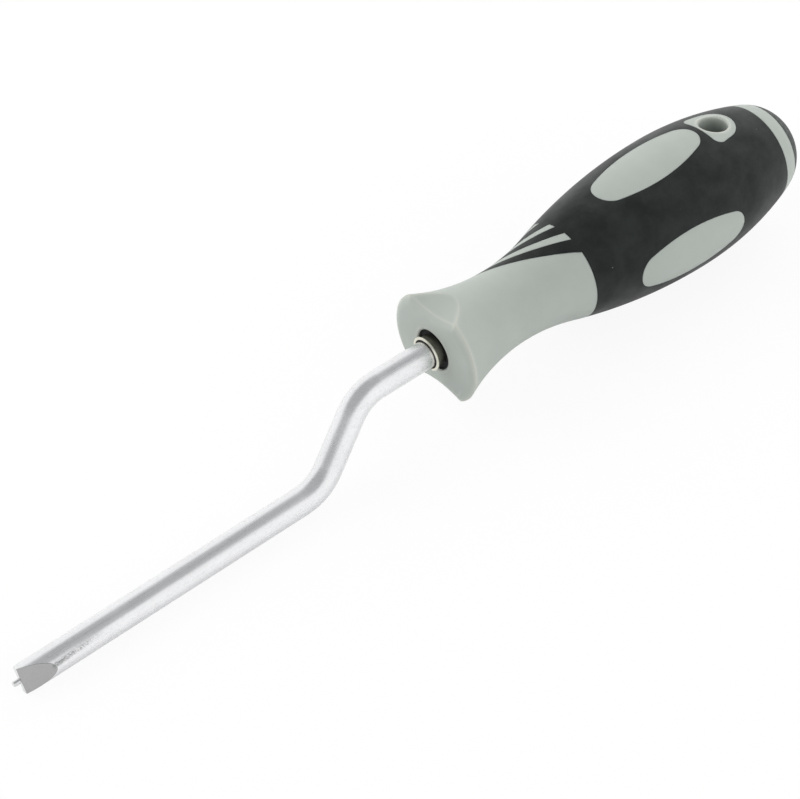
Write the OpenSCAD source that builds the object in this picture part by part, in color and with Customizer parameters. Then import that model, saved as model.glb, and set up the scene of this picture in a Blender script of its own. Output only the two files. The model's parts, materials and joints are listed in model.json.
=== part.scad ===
// Spoke nipple driver: a cranked rod with a blade and a pilot pin, in a two-colour handle that spins on it.
// Millimetres. The handle's axis runs along X, the blade points to -X and the tool lies on the plane Z = 0.

/* [Rod] */
// Diameter of the rod
rod_d = 7; // [6:0.1:8]
// Distance from the handle's nose to the end of the blade
reach = 125; // [110:1:150]
// Distance from the nose to the corner point of the bend near the handle
first_bend_x = 23; // [19:0.5:30]
// Length along the axis between the corner points of the two bends
crank_run = 18; // [15:0.5:24]
// Distance between the handle's axis and the axis of the long leg
crank_offset = 16.2; // [15.5:0.1:20]
// Radius of the bends, to the rod's centre line
bend_r = 14; // [10:0.5:18]
// How much thinner the rod is drawn in its bends, on the radius
bend_thin = 0.02; // [0.015:0.005:0.05]
// Chamfer at the rod's rear end
rod_chamfer = 0.6; // [0.2:0.1:1]

/* [Blade] */
// Length of the ground flats
blade_len = 7.6; // [6:0.1:12]
// Thickness of the blade at its end
blade_t = 1.5; // [1.4:0.1:2.2]
// Diameter of the pilot pin
pin_d = 1.3; // [0.9:0.1:1.4]
// Length of the pilot pin that stands out of the blade
pin_out = 1.8; // [1:0.1:3]
// Diameter of the pilot pin's shank, which sits in the blade
shank_d = 0.9; // [0.6:0.1:1]
// Depth of the pilot pin's shank in the blade
shank_depth = 6; // [4:0.5:10]
// Bevel of the pilot pin's tip
pin_bevel = 0.2; // [0.1:0.05:0.3]

/* [Handle outline] */
// Length of the handle
handle_len = 121.5; // [116:0.5:130]
// Radius of the neck at its narrowest
neck_r = 10; // [9.6:0.1:11]
// Distance from the nose to the narrowest part of the neck
neck_x = 23; // [20:0.5:26]
// Radius of the hollow curve from the neck forward to the nose
flare_curve = 54; // [48:1:62]
// Radius of the hollow curve from the neck back towards the belly
neck_curve = 55; // [45:1:65]
// Radius of the belly at its widest
belly_r = 18.25; // [17.5:0.05:19]
// Distance from the widest part of the belly to the handle's end
belly_from_end = 40.5; // [37:0.5:44]
// Radius of the curve from the belly back to the end
tail_curve = 97; // [85:1:110]
// Depth of the nose's rim behind its face
rim_x = 1; // [0.6:0.1:1.4]
// Radius of the face's rounding out to the rim
rim_round = 3; // [2:0.1:5]
// Height of the two thumb scallops over the axis, at their middle and their front
scallop_h = 10.7; // [10.2:0.1:12]
// Radius of the thumb scallops across
scallop_curve = 24; // [18:1:40]
// Rise of the thumb scallops from front to back, to each millimetre
scallop_rise = 0.22; // [0.18:0.01:0.3]
// How far each curve of an outline runs into the next, so that they cross cleanly
blend = 0.003; // [0.002:0.001:0.01]
// Turn of the handle on its rod as it lies, from the hanging hole upright
handle_turn = -7.5; // [-180:0.5:180]

/* [Grip] */
// Thickness of the black overmould
grip_t = 1.8; // [1.2:0.1:2.2]
// Distance from the nose to the overmould's square front edge
grip_x = 42.1; // [41:0.1:48]
// Length of the grey band between the overmould and the end cap
band_len = 4.6; // [2:0.1:7]
// Side distance from the axis of the corner where the slanting front edge begins
slant_y = 8.1; // [6:0.1:9]
// Angle of the slanting front edge to the axis
slant_angle = 33.5; // [28:0.5:38]
// Number of grey stripes beside the slanting edge
stripe_count = 3; // [1:1:4]
// Distance from the slanting edge's corner to the first stripe, along the overmould's front edge
stripe_first = 3.65; // [2.5:0.05:4.5]
// Width of the first stripe along the front edge
stripe_w = 2.4; // [1.6:0.1:3]
// How much narrower each stripe is than the one before it
stripe_narrow = 0.35; // [0:0.05:0.4]
// Distance from one stripe to the next along the front edge
stripe_pitch = 5.85; // [5:0.05:7]
// Angle that each stripe is turned from the one before it
stripe_fan = 2; // [0:0.5:4]
// Distance from the overmould's front edge to the oval fields
oval_front = 12.8; // [10:0.1:16]
// Gap between an oval field and the field around the hanging hole
oval_gap = 1.8; // [0.4:0.1:4]
// Width of an oval field
oval_w = 13.9; // [12:0.1:18]
// Radius of the oval field's ends
oval_end_r = 5; // [3:0.1:5.8]
// Angle around the axis from the upper oval field to the fields at the sides
oval_turn = 93; // [85:1:95]

/* [Hanging hole] */
// Diameter of the hanging hole
hang_d = 7.6; // [6:0.1:8]
// Distance from the middle of the hanging hole to the handle's end
hang_from_end = 25.5; // [23:0.1:28]
// Width of the bevel around the hole's mouths, in line with the handle
hang_bevel = 0.7; // [0.4:0.1:0.8]
// Half width of the grey field around the hole, across the handle
field_half_w = 6.7; // [6.4:0.1:7.5]
// Distance from the hole's middle to that field's straight front edge
field_front = 5; // [4.8:0.1:5.6]
// Distance from the hole's middle to that field's round rear edge
field_rear = 5.6; // [5.2:0.1:6]
// Radius of that field's rear edge
field_rear_r = 6.2; // [5.8:0.1:6.4]
// Radius of that field's two front corners
field_corner_r = 2.1; // [1.5:0.1:2.5]

/* [End cap] */
// Length of the end cap
cap_len = 7.5; // [6.5:0.1:9]
// Radius of the core's stub inside the cap
stub_r = 8; // [6:0.1:9]
// Length of the core's stub inside the cap
stub_len = 3.4; // [2:0.1:4]

/* [Bearings] */
// Outer diameter of the ball bearings
bearing_d = 11; // [10.6:0.1:11.4]
// Width of the ball bearings
bearing_w = 3; // [2.6:0.1:3.4]
// Diameter of the balls
ball_d = 1.1; // [1:0.02:1.2]
// Number of balls in a bearing
ball_count = 11; // [8:1:12]
// Radial gap between the two races' shoulders
race_gap = 0.8; // [0.7:0.05:0.9]
// Thickness of the bearings' own seals
bearing_seal_t = 0.35; // [0.25:0.05:0.4]
// Length of the ball cages
cage_w = 1.7; // [1.5:0.05:1.9]
// Depth of the rear bearing's seat behind the nose
seat_depth = 56; // [40:1:70]

/* [Rings and seals] */
// Outer diameter of the ring in front of the handle
ring_d = 9.2; // [8.8:0.1:9.6]
// Thickness of the front ring
front_ring_t = 0.45; // [0.4:0.05:0.7]
// Thickness of the ring at the rod's rear end
ring_t = 1; // [0.7:0.05:1.2]
// Depth of the rings' grooves in the rod
groove_depth = 0.3; // [0.2:0.05:0.5]
// Slot in the split rings
ring_slot = 1.2; // [0.8:0.1:2]
// Gap between the front ring and the nose
ring_gap = 1.75; // [1:0.05:2.5]
// Depth of the dust seal's face below the nose
seal_recess = 0.3; // [0.1:0.05:0.6]
// Thickness of the dust seal
seal_t = 0.9; // [0.6:0.05:1.4]
// Bevel of the bore's mouth
mouth_bevel = 0.25; // [0.1:0.05:0.4]
// Thickness of the rear washer
washer_t = 0.6; // [0.4:0.05:1]

/* [Clearances] */
// Radial play of parts that seat on each other
seat_play = 0.01; // [0.005:0.005:0.02]
// Radial play of the balls in their grooves
ball_play = 0.02; // [0.015:0.005:0.04]
// Play of a ball in its cage pocket
pocket_play = 0.05; // [0.03:0.01:0.08]
// Radial gap between a seal's lip and the part that turns in it
lip_gap = 0.08; // [0.05:0.01:0.1]
// Gap around the cage
cage_gap = 0.12; // [0.1:0.01:0.15]
// Gap between the pilot pin's shoulder and the blade's end
pin_gap = 0.1; // [0.06:0.01:0.2]
// Gap around the rod's end in the core
end_gap = 2; // [1:0.1:4]

/* [Hidden] */

$fn = 96;
// Fragments of the long profile curves, which are small parts of large circles
curve_fn = 1440;
// Reach of cutting tools past what they cut
past = 30;
over = 1;

rod_r = rod_d / 2;

// Places along the handle, from the nose back
belly_x = handle_len - belly_from_end;
hang_x = handle_len - hang_from_end;
cap_x = handle_len - cap_len;
grip_end_x = cap_x - band_len;
oval_start_x = grip_x + oval_front;
oval_end_x = hang_x - field_front - oval_gap;
// The curves of the neck and the belly share a tangent where they meet
belly_rise = belly_r - neck_r;
belly_run = belly_x - neck_x;
curve_sum = (belly_run * belly_run + belly_rise * belly_rise - blend * blend) / (2 * (belly_rise - blend));
belly_curve = curve_sum - neck_curve;
// The round end, a ball on the axis that is tangent to the tail curve
tail_centre = belly_r - tail_curve;
tail_out = tail_curve + blend;
dome_r = (pow(tail_out, 2) - pow(tail_centre, 2) - pow(belly_from_end, 2))
         / (2 * (tail_out - belly_from_end));
dome_x = handle_len - dome_r;
// The rounding of the nose's face, tangent to it and ending in a rim on the flare
flare_centre = neck_r + flare_curve;
rim_r = flare_centre - sqrt(pow(flare_curve, 2) - pow(neck_x - rim_x, 2));
rim_run = sqrt(pow(rim_round, 2) - pow(rim_round - rim_x, 2));

// Radii of the bearing parts
bearing_r = bearing_d / 2;
pitch_r = (rod_r + bearing_r) / 2;
inner_land_r = pitch_r - race_gap / 2;
outer_land_r = pitch_r + race_gap / 2;
groove_r = ball_d / 2 + ball_play;
// Places along the axis, from the nose back
front_ring_x = -ring_gap - front_ring_t;
front_bearing_x = seal_recess + seal_t;
rear_bearing_x = seat_depth - bearing_w;
washer_x = seat_depth;
rear_ring_x = washer_x + washer_t;
rod_end_x = rear_ring_x + ring_t + 2 * rod_chamfer + ring_t;
bore_end_x = rod_end_x + end_gap;
seal_inset = (bearing_w - cage_w - 2 * bearing_seal_t) / 6;

// The crank: bend angle, lengths between the bends, and the lean at which the long leg lies on the ground
bend_angle = atan2(crank_offset, crank_run);
bend_setback = bend_r * tan(bend_angle / 2);
// How far the straights run into the bends, short enough that they stay outside the thinner bend
bend_lap = sqrt(bend_r * bend_thin) / 4;
slant_len = norm([crank_offset, crank_run]) - 2 * bend_setback;
second_bend_x = first_bend_x + crank_run;
crank_lean = acos(min(1, (belly_r - rod_r) / crank_offset));
blade_angle = atan2(rod_r - blade_t / 2, blade_len);

// The origin lies on the ground under the middle of the tool's length
middle_x = (handle_len - reach - pin_out) / 2;

// Stands a shape made in the tool's own frame on the ground: nose at x = 0, axis along X
module place() translate([-middle_x, 0, belly_r]) children();

// What turns with the handle
module on_handle() place() rotate([handle_turn, 0, 0]) children();

// What turns with the rod
module on_crank() place() rotate([-crank_lean, 0, 0]) children();

// Turns a shape of revolution that was made along Z so that it runs along X from x
module along(x = 0) translate([x, 0, 0]) rotate([0, 90, 0]) rotate(45) children();

// A round tube along X
module tube(x, len, outer, inner) along(x) difference() {
    cylinder(r = outer, h = len);
    translate([0, 0, -over]) cylinder(r = inner, h = len + 2 * over);
}

// Strip of the profile between two places along the axis
module strip(from, to) translate([0, from]) square([2 * belly_r, to - from]);

// The circle of the face's rounding, from a point in front of where it leaves the face
module rim_arc() translate([0, over + rim_round - blend]) circle(r = rim_round);

// Half section of the handle, radius to the right and the axis upwards, taken in by inset
module handle_section(inset = 0) {
    join_x = neck_x + belly_run * (neck_curve + inset) / curve_sum;
    dome_join_x = dome_x + (dome_r - inset) * (dome_x - belly_x) / (tail_curve - dome_r);
    difference() {
        strip(0, neck_x);
        translate([flare_centre, neck_x]) circle(r = flare_curve + inset, $fn = curve_fn);
        translate([rim_r - rim_run, -over]) difference() {
            square([2 * belly_r, over + rim_round]);
            rim_arc();
        }
    }
    difference() {
        strip(neck_x, join_x);
        translate([neck_r + neck_curve, neck_x]) circle(r = neck_curve + inset, $fn = curve_fn);
    }
    intersection() {
        strip(neck_x, belly_x);
        translate([belly_r - belly_curve, belly_x]) circle(r = belly_curve - inset, $fn = curve_fn);
    }
    intersection() {
        strip(belly_x, dome_join_x);
        translate([tail_centre, belly_x]) circle(r = tail_curve - inset, $fn = curve_fn);
    }
    intersection() {
        strip(belly_x, handle_len + over);
        translate([0, dome_x]) circle(r = dome_r - inset, $fn = curve_fn / 4);
    }
}

// The handle's whole outer form between two places along the axis
module handle_form(from, to, inset = 0) along() rotate_extrude() intersection() {
    handle_section(inset);
    strip(from, to);
}

// Oval of four arcs: two long sides and two round ends
module oval(half_l, half_w, end_r) {
    centre = half_l - end_r;
    fit_r = end_r - blend;
    side_r = (centre * centre + half_w * half_w - fit_r * fit_r) / (2 * (half_w - fit_r));
    join = centre * side_r / (side_r - end_r);
    for (side = [-1, 1]) translate([side * centre, 0]) circle(r = end_r);
    intersection() {
        intersection_for(side = [-1, 1])
            translate([0, side * (side_r - half_w)]) circle(r = side_r, $fn = curve_fn / 4);
        square([2 * join, 4 * half_w], center = true);
    }
}

// The foremost place that the overmould can reach
front_x = neck_x / 2;

// The grey stripes seen from above, each a little more in line with the axis than the one before
module stripes_plan() intersection() {
    translate([0, -past]) square([grip_x, 2 * past]);
    for (i = [0 : stripe_count - 1]) {
        angle = slant_angle - stripe_fan * (i + 1);
        width = (stripe_w - stripe_narrow * i) * cos(angle);
        translate([grip_x, stripe_first + i * stripe_pitch - slant_y]) rotate(-angle)
            translate([-2 * past, 0]) square([3 * past, width]);
    }
}

// The overmould's room seen from above: square behind its front edge, slanting forward on one side
module grip_plan() difference() {
    front_y = (grip_x - front_x) * tan(slant_angle) - slant_y;
    polygon([[grip_x, -past], [grip_end_x, -past], [grip_end_x, past],
             [front_x, past], [front_x, front_y], [grip_x, -slant_y]]);
    stripes_plan();
}

// The field around the hanging hole: a round rear, and two round corners beside a straight front edge
module hole_field() {
    rear = [field_rear - field_rear_r, 0];
    corner = [field_corner_r - field_front, field_half_w - field_corner_r];
    run = rear - corner;
    // Direction from the circles' middles to their shared tangent, and the tangent's two ends
    turn = atan2(run.y, run.x) + acos((field_corner_r - field_rear_r) / norm(run));
    side = [cos(turn), sin(turn)];
    corner_end = corner + (field_corner_r - blend) * side;
    rear_end = rear + (field_rear_r - blend) * side;
    front = blend - field_front;
    intersection() {
        translate(rear) circle(r = field_rear_r);
        translate([corner.x, -past]) square([past, 2 * past]);
    }
    for (way = [-1, 1]) translate([corner.x, way * corner.y]) circle(r = field_corner_r);
    polygon([[front, -corner.y], [corner_end.x, -corner_end.y], [rear_end.x, -rear_end.y],
             rear_end, corner_end, [front, corner.y]]);
}

// The windows of the overmould: oval fields on four sides and the fields around the hanging hole
module windows() {
    for (turn = [0, oval_turn, 180, -oval_turn]) rotate([turn, 0, 0])
        translate([(oval_start_x + oval_end_x) / 2, 0, neck_r]) linear_extrude(past)
            oval((oval_end_x - oval_start_x) / 2, oval_w / 2, oval_end_r);
    translate([hang_x, 0, -past]) linear_extrude(2 * past) hole_field();
}

// The room around the core that the overmould fills, open to the outside
module grip_room() difference() {
    translate([0, 0, -past]) linear_extrude(2 * past) grip_plan();
    handle_form(front_x - over, handle_len, grip_t);
    windows();
}

// Bore for the bearings: a bevelled mouth, the seat, and room for the rod's end behind a step
module bearing_bore() {
    along(-over) cylinder(r = bearing_r + seat_play, h = over + seat_depth);
    along(-mouth_bevel) cylinder(r1 = bearing_r + 2 * mouth_bevel, r2 = bearing_r, h = 2 * mouth_bevel);
    along() cylinder(r = outer_land_r + race_gap / 4, h = bore_end_x);
}

// Height of the handle's surface over the axis at the hanging hole, and its slope there
hang_mouth_h = tail_centre + sqrt(tail_curve * tail_curve - pow(hang_x - belly_x, 2));
hang_slope = asin((hang_x - belly_x) / tail_curve);

// Hanging hole straight through the handle, bevelled at both mouths square to the surface
module hang_hole() translate([hang_x, 0, 0]) {
    cylinder(r = hang_d / 2, h = 2 * past, center = true);
    for (turn = [0, 180]) rotate([turn, 0, 0]) translate([0, 0, hang_mouth_h]) rotate([0, hang_slope, 0])
        translate([0, 0, -2 * hang_bevel])
            cylinder(r1 = hang_d / 2 - hang_bevel, r2 = hang_d - hang_bevel, h = hang_d / 2);
}

// Section of a thumb scallop's cutter, wider at its front so that the face is round there too
module scallop_section() {
    rear_r = scallop_curve - scallop_rise * front_x;
    polygon([[0, 0], [scallop_curve, 0], [scallop_curve, over + rim_x],
             [rear_r, over + rim_x + front_x], [0, over + rim_x + front_x]]);
    difference() {
        square([scallop_curve + rim_run, over + rim_x]);
        translate([scallop_curve + rim_run, 0]) rim_arc();
    }
}

module thumb_scallops() for (side = [-1, 1])
    translate([-over, 0, side * (scallop_h + scallop_curve)]) along() rotate_extrude() scallop_section();

module handle_core() color("#aab2ac") on_handle() difference() {
    union() {
        handle_form(0, cap_x);
        along(cap_x - over) cylinder(r = stub_r, h = stub_len + over);
    }
    grip_room();
    thumb_scallops();
    bearing_bore();
    hang_hole();
}

module grip() color("#2a2e2c") on_handle() intersection() {
    handle_form(0, handle_len);
    grip_room();
}

module end_cap() color("#6e7472") on_handle() difference() {
    handle_form(cap_x, handle_len + over);
    along(cap_x - over) cylinder(r = stub_r + seat_play, h = stub_len + over + seat_play);
}

module front_dust_seal() color("#26282a") on_handle()
    tube(seal_recess, seal_t, bearing_r, inner_land_r + lip_gap);

// A race is a ring with the balls' groove turned into it
module race(x, inner, outer) along(x) rotate_extrude() difference() {
    translate([inner, 0]) square([outer - inner, bearing_w]);
    translate([pitch_r, bearing_w / 2]) circle(r = groove_r);
}

module inner_race(x) race(x, rod_r + seat_play, inner_land_r);

module outer_race(x) race(x, outer_land_r, bearing_r);

module bearing_seals(x) for (inset = [seal_inset, bearing_w - bearing_seal_t - seal_inset])
    tube(x + inset, bearing_seal_t, outer_land_r, inner_land_r + lip_gap);

module balls(x) for (i = [0 : ball_count - 1]) rotate([i * 360 / ball_count, 0, 0])
    translate([x + bearing_w / 2, 0, pitch_r]) sphere(r = ball_d / 2);

module cage(x) difference() {
    tube(x + (bearing_w - cage_w) / 2, cage_w, outer_land_r - cage_gap, inner_land_r + cage_gap);
    for (i = [0 : ball_count - 1]) rotate([i * 360 / ball_count, 0, 0])
        translate([x + bearing_w / 2, 0, rod_r])
            cylinder(r = ball_d / 2 + pocket_play, h = bearing_r - rod_r);
}

module front_outer_race() color("#b8babd") on_handle() outer_race(front_bearing_x);

module rear_outer_race() color("#b8babd") on_handle() outer_race(rear_bearing_x);

module front_inner_race() color("#b8babd") on_crank() inner_race(front_bearing_x);

module rear_inner_race() color("#b8babd") on_crank() inner_race(rear_bearing_x);

module front_bearing_seals() color("#26282a") on_handle() bearing_seals(front_bearing_x);

module rear_bearing_seals() color("#26282a") on_handle() bearing_seals(rear_bearing_x);

module front_balls() color("#d6d8da") on_handle() balls(front_bearing_x);

module rear_balls() color("#d6d8da") on_handle() balls(rear_bearing_x);

module front_cage() color("#c8b070") on_handle() cage(front_bearing_x);

module rear_cage() color("#c8b070") on_handle() cage(rear_bearing_x);

// The tubes that hold the two bearings apart
spacer_x = front_bearing_x + bearing_w;
spacer_len = rear_bearing_x - spacer_x;

module outer_spacer() color("#9a9da0") on_handle() tube(spacer_x, spacer_len, bearing_r, outer_land_r);

module inner_spacer() color("#9a9da0") on_crank()
    tube(spacer_x, spacer_len, inner_land_r, rod_r + seat_play);

module front_sleeve() color("#8a6a3c") on_crank()
    tube(-ring_gap, ring_gap + front_bearing_x, inner_land_r, rod_r + seat_play);

module rear_washer() color("#b8babd") on_crank() tube(washer_x, washer_t, ring_d / 2, rod_r + seat_play);

// A split ring that sits in a groove of the rod, its slot on the crank's side
module split_ring(x, thick) difference() {
    tube(x, thick, ring_d / 2, rod_r - groove_depth + seat_play);
    translate([x - over, -ring_slot / 2, -ring_d]) cube([thick + 2 * over, ring_slot, ring_d]);
}

module front_retaining_ring() color("#d8d2be") on_crank() split_ring(front_ring_x, front_ring_t);

module rear_circlip() color("#55585a") on_crank() split_ring(rear_ring_x, ring_t);

// One bend of the rod in the crank's plane, from its start at the origin, along -X and curving down
module rod_bend() translate([0, 0, -bend_r]) rotate([90, 0, 0]) rotate(90)
    rotate_extrude(angle = bend_angle) translate([bend_r, 0]) circle(r = rod_r - bend_thin);

// The rod's whole course: stub, bend, slanting leg, bend back, long leg.
// The straights run a little into the bends
module rod_course() {
    stub_end = first_bend_x - bend_setback + bend_lap;
    leg_end = second_bend_x + bend_setback - bend_lap;
    along() rotate_extrude() polygon([[0, -stub_end], [rod_r, -stub_end], [rod_r, rod_end_x - rod_chamfer],
                                      [rod_r - rod_chamfer, rod_end_x], [0, rod_end_x]]);
    translate([bend_lap - stub_end, 0, 0]) rod_bend();
    translate([-first_bend_x, 0, 0]) rotate([0, -bend_angle, 0])
        along(-bend_setback - slant_len - bend_lap) cylinder(r = rod_r, h = slant_len + 2 * bend_lap);
    translate([-leg_end - bend_lap, 0, -crank_offset]) rotate([0, 180, 0]) rod_bend();
    translate([0, 0, -crank_offset]) along(-reach) cylinder(r = rod_r, h = reach - leg_end);
}

// The two wedges that are ground off the rod's end to leave the blade, square to the crank's plane
module blade_wedges() translate([-reach, 0, -crank_offset]) for (turn = [0, 180]) rotate([turn, 0, 0])
    translate([0, blade_t / 2, 0]) rotate(blade_angle)
        translate([-blade_len, 0, -rod_d]) cube([3 * blade_len, rod_d, 2 * rod_d]);

module ring_groove(x, wide) tube(x, wide, rod_d, rod_r - groove_depth);

module crank_shaft() color("#c4c8ce") on_crank() difference() {
    rod_course();
    blade_wedges();
    ring_groove(front_ring_x, front_ring_t);
    ring_groove(rear_ring_x, ring_t);
    translate([-reach, 0, -crank_offset])
        along(-over) cylinder(r = shank_d / 2 + seat_play, h = shank_depth + over + seat_play);
}

// The pin's thinner shank sits in the blade, and its shoulder stands just off the blade's end
module pilot_pin() color("#c4c8ce") on_crank()
    translate([-reach, 0, -crank_offset]) along() rotate_extrude()
        polygon([[0, -pin_out], [pin_d / 2 - pin_bevel, -pin_out], [pin_d / 2, pin_bevel - pin_out],
                 [pin_d / 2, -pin_gap], [shank_d / 2, -pin_gap],
                 [shank_d / 2, shank_depth], [0, shank_depth]]);

handle_core();
grip();
end_cap();
front_dust_seal();
front_outer_race();
front_bearing_seals();
outer_spacer();
rear_outer_race();
rear_bearing_seals();
crank_shaft();
pilot_pin();
front_retaining_ring();
front_sleeve();
front_inner_race();
inner_spacer();
rear_inner_race();
rear_washer();
rear_circlip();
front_cage();
front_balls();
rear_cage();
rear_balls();
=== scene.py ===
"""Looks of a spoke nipple driver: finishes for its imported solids, small turned and moulded pieces, and a studio."""

import json
import logging
import math
from dataclasses import dataclass, field, replace
from enum import Enum
from typing import Any, Dict, List, Optional, Sequence, Tuple, Union

import bmesh
import bpy
from mathutils import Matrix, Vector

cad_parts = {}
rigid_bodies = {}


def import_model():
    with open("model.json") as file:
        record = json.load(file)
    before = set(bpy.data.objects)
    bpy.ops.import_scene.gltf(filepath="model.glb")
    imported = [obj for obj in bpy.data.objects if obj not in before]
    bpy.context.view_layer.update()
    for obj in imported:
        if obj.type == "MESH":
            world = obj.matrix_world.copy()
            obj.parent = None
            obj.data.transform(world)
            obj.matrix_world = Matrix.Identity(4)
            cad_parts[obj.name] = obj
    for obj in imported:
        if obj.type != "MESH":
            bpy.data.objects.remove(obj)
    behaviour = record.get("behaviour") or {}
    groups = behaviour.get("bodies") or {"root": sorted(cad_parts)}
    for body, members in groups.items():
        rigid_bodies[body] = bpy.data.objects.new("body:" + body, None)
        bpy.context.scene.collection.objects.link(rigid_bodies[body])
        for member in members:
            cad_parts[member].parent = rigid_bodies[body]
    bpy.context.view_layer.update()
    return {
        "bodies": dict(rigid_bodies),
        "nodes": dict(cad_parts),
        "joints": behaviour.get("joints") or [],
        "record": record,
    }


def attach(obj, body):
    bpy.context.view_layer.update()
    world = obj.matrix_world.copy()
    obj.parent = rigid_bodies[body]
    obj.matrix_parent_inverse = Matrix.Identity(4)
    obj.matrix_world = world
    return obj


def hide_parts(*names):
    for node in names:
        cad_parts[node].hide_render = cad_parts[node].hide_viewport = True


LOG = logging.getLogger("nipple_driver")

MM = 0.001

Material = bpy.types.Material
Node = bpy.types.Node
Piece = bpy.types.Object
Shape = bmesh.types.BMesh
Socket = bpy.types.NodeSocket

Colour = Tuple[float, float, float]
Point = Tuple[float, float, float]
Pair = Tuple[float, float]

ORIGIN: Point = (0.0, 0.0, 0.0)
X_WAY: Point = (1.0, 0.0, 0.0)
WHITE = (1.0, 1.0, 1.0, 1.0)

# Ranges of a noise value: one that holds nearly all of it, and two that cut it harder.
WIDE: Pair = (0.25, 0.75)
MIDDLE: Pair = (0.3, 0.7)
NARROW: Pair = (0.35, 0.65)

# Cosine of the turn of an edge's normals at which it starts to count as an edge, and at which it counts fully.
EDGE_TURN: Pair = (0.985, 0.88)
EDGE_SAMPLES = 6

# Places of a Mix node's two colours among its inputs, and of the mixed colour among its outputs.
MIX_COLOURS = (6, 7)
MIX_RESULT = 2

# Width of the step that picks the cells of the specks, and share of a speck's radius that is solid.
SPECK_STEP = 0.001
SPECK_CORE = 0.6

# Points nearer than this are one, in metres. Angle in degrees over which an edge stays sharp. Steps of a full turn.
MERGE_GAP = 0.0005 * MM
CREASE = 35.0
TURN_STEPS = 96


class Body(Enum):
    """The bodies that a piece can move with."""

    HANDLE = "handle"
    CRANK = "crank"


class Slot(Enum):
    """The record's finishes that a new piece can take."""

    GREY_PLASTIC = "grey_plastic"
    SEAL_RUBBER = "seal_rubber"
    RING_NICKEL = "ring_nickel"


class NodeTree:
    """The node tree of a material or a world, with short helpers that lay its nodes and join them."""

    def __init__(self, owner: Union[Material, bpy.types.World]) -> None:
        """Gives a material or a world an empty tree."""
        owner.use_nodes = True
        self.tree = owner.node_tree
        self.tree.nodes.clear()

    def node(self, kind: str, **settings: object) -> Node:
        """Lays one node.

        Args:
            kind: Blender's name of the node's type.
            settings: attributes to set on the node.

        Returns:
            The new node.
        """
        made = self.tree.nodes.new(kind)
        for key, value in settings.items():
            setattr(made, key, value)
        return made

    def join(self, source: Socket, target: Socket) -> None:
        """Links an output to an input."""
        self.tree.links.new(source, target)

    def feed(self, target: Socket, value: object) -> None:
        """Gives an input a constant, or links it where the value is an output."""
        if isinstance(value, Socket):
            self.join(value, target)
        else:
            target.default_value = value

    def fill(self, node: Node, values: Dict[str, object]) -> None:
        """Gives a node's inputs constants or outputs, by the inputs' names."""
        for name, value in values.items():
            self.feed(node.inputs[name], value)

    def calc(self, operation: str, first: object, second: object = 0.0) -> Socket:
        """One step of arithmetic.

        Args:
            operation: Blender's name of the operation.
            first: a number or an output.
            second: a number or an output.

        Returns:
            The result.
        """
        step = self.node("ShaderNodeMath", operation=operation)
        self.feed(step.inputs[0], first)
        self.feed(step.inputs[1], second)
        return step.outputs[0]

    def vector_step(self, operation: str, first: Socket, second: Optional[Point] = None) -> Node:
        """One step of vector arithmetic.

        Args:
            operation: Blender's name of the operation.
            first: an output.
            second: a constant, where the operation takes one.

        Returns:
            The node, with its outputs Vector and Value.
        """
        step = self.node("ShaderNodeVectorMath", operation=operation)
        self.join(first, step.inputs[0])
        if second is not None:
            step.inputs[1].default_value = second
        return step

    def show_mix(self, factor: Socket, low: Node, high: Node, output: str) -> None:
        """Puts a mix of two shaders on the tree's output.

        Args:
            factor: 0 for the first, 1 for the second.
            low: a shader.
            high: a shader.
            output: Blender's name of the output's type.
        """
        mix = self.node("ShaderNodeMixShader")
        for source, target in zip((factor, low.outputs[0], high.outputs[0]), mix.inputs):
            self.join(source, target)
        self.join(mix.outputs[0], self.node(output).inputs["Surface"])


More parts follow.
